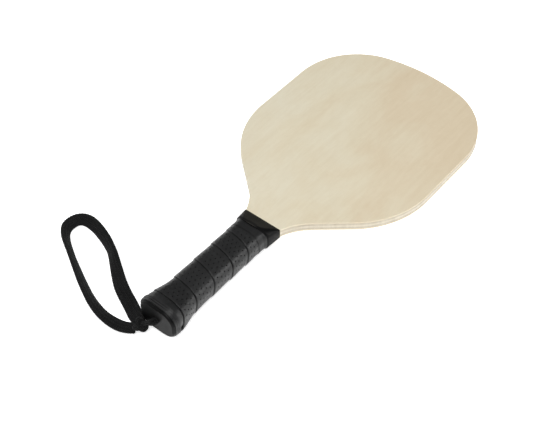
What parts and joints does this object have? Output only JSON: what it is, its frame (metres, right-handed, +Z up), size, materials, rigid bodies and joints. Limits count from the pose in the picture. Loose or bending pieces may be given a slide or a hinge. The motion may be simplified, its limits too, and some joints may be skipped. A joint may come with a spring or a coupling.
{
  "type": "pickleball paddle",
  "caption": "Wooden pickleball paddle: rounded-square plywood blade, short taped grip with collar and butt cap, braided wrist loop knotted at the butt.",
  "frame": {"origin": "on the table, under the middle of the paddle without its strap; the paddle lies face up on the blade end of its grip and the lower edge of its tip", "axes": "+X from the butt to the tip, +Y to the left of a hand that holds the grip and points the tip away, +Z up from the table"},
  "size_m": [0.4221, 0.2518, 0.035],
  "materials": {
    "face_veneer": "sanded, thin clear satin lacquer",
    "crossband_wood": "end grain showing on the edge, darker than the faces",
    "core_wood": "end grain and long grain on the edge, unstained",
    "handle_wood": "raw, shaped, hidden under the grip",
    "cap_plastic": "fine moulded satin",
    "staple_wire": "plain drawn wire",
    "grip_tape": "soft perforated cushion tape with a slight sheen",
    "finishing_tape": "thin adhesive tape, satin",
    "collar_rubber": "smooth moulded, satin",
    "strap_braid": "soft flat tubular braid"
  },
  "bodies": {
    "paddle": {"face_ply_front": "face_veneer", "crossband_front": "crossband_wood", "core_ply": "core_wood", "crossband_back": "crossband_wood", "face_ply_back": "face_veneer", "handle_scale_front": "handle_wood", "handle_scale_back": "handle_wood", "butt_cap": "cap_plastic", "cap_staples": "staple_wire", "grip_tape": "grip_tape", "finishing_tape": "finishing_tape", "grip_collar": "collar_rubber", "strap_tails": "strap_braid", "strap_stopper_knot": "strap_braid"},
    "strap_end": {"strap_neck": "strap_braid", "strap_knot": "strap_braid"},
    "strap_loop": {"strap_loop": "strap_braid"}
  },
  "joints": [
    {"name": "strap_swing", "type": "hinge", "parent": "paddle", "child": "strap_end", "pos_m": [-0.2032, 0, 0.01835], "axis": [0, 0, 1], "range_deg": [0, 125]},
    {"name": "loop_swing", "type": "hinge", "parent": "strap_end", "child": "strap_loop", "pos_m": [-0.207, 0.0137, 0.0065], "axis": [0, 0, 1], "range_deg": [0, 50]}
  ]
}
